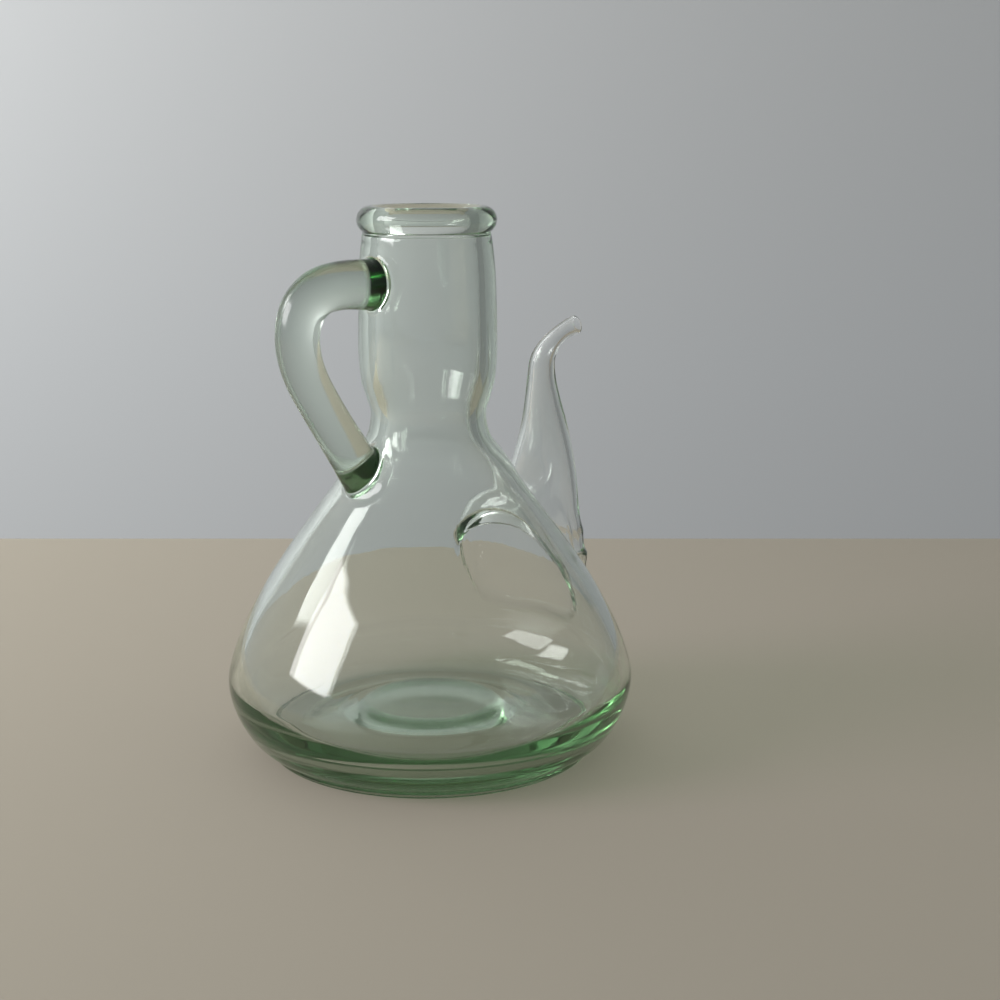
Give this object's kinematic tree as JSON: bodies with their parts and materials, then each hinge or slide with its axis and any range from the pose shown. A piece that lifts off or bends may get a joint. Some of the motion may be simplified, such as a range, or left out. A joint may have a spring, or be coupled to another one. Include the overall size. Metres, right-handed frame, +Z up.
{
  "type": "glass cruet",
  "caption": "Hand-blown conical glass cruet for oil or vinegar, with a straight neck, rolled rim, solid loop handle and curved pouring spout.",
  "frame": {"origin": "on the axis of the body, at the surface that the base stands on", "axes": "+Z up along the body's axis, +X towards the spout, -X towards the handle"},
  "size_m": [0.1328, 0.1328, 0.176],
  "materials": {
    "glass": "clear pale green soda-lime glass, polished"
  },
  "bodies": {
    "root": {"cruet": "glass"}
  },
  "joints": []
}
